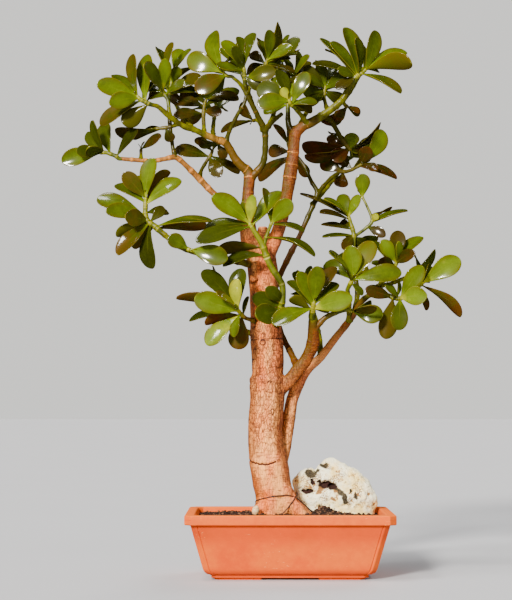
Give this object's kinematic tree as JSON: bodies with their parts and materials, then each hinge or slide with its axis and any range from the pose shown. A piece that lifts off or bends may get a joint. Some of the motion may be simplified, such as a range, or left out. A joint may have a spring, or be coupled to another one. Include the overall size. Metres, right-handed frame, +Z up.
{
  "type": "jade bonsai",
  "caption": "Jade plant grown as a bonsai: one leaning trunk, forked boughs with glossy leaves, in a rectangular footed terracotta pot with a pale limestone rock.",
  "frame": {"origin": "on the floor, under the middle of the whole plant's bounding box", "axes": "+Z up along the trunk, -Y towards the front, +X to the right seen from the front"},
  "size_m": [0.5014, 0.2424, 0.7019],
  "materials": {
    "terracotta": "matte",
    "soil": "matte",
    "limestone": "matte",
    "pebble": "matte",
    "bark": "matte",
    "leaf": "satin",
    "wire": "satin"
  },
  "bodies": {
    "root": {"pebble": "pebble", "pot": "terracotta", "shoot_back_right": "leaf", "shoot_back_riser": "leaf", "shoot_centre": "leaf", "shoot_centre_under": "leaf", "shoot_crown_left": "leaf", "shoot_crown_right": "leaf", "shoot_far_left_single": "leaf", "shoot_far_right_up": "leaf", "shoot_front_left": "leaf", "shoot_front_stem": "leaf", "shoot_hanging": "leaf", "shoot_left": "leaf", "shoot_left_far_up": "leaf", "shoot_left_top": "leaf", "shoot_left_under": "leaf", "shoot_lower_left": "leaf", "shoot_lower_left_dark": "leaf", "shoot_lower_left_up": "leaf", "shoot_lower_right": "leaf", "shoot_mid_right": "leaf", "shoot_near_fork": "leaf", "shoot_outer_left": "leaf", "shoot_outer_left_low": "leaf", "shoot_rear_a": "leaf", "shoot_rear_b": "leaf", "shoot_rear_c": "leaf", "shoot_rear_d": "leaf", "shoot_rear_e": "leaf", "shoot_rear_f": "leaf", "shoot_rear_g": "leaf", "shoot_rear_h": "leaf", "shoot_rear_i": "leaf", "shoot_rear_j": "leaf", "shoot_rear_k": "leaf", "shoot_rear_l": "leaf", "shoot_right": "leaf", "shoot_right_high": "leaf", "shoot_right_low": "leaf", "shoot_right_mid": "leaf", "shoot_right_riser": "leaf", "shoot_second_stem": "leaf", "shoot_side_right": "leaf", "shoot_young_centre": "leaf", "soil": "soil", "stone": "limestone", "training_wire": "wire", "training_wire_end": "wire", "wood": "bark"}
  },
  "joints": []
}
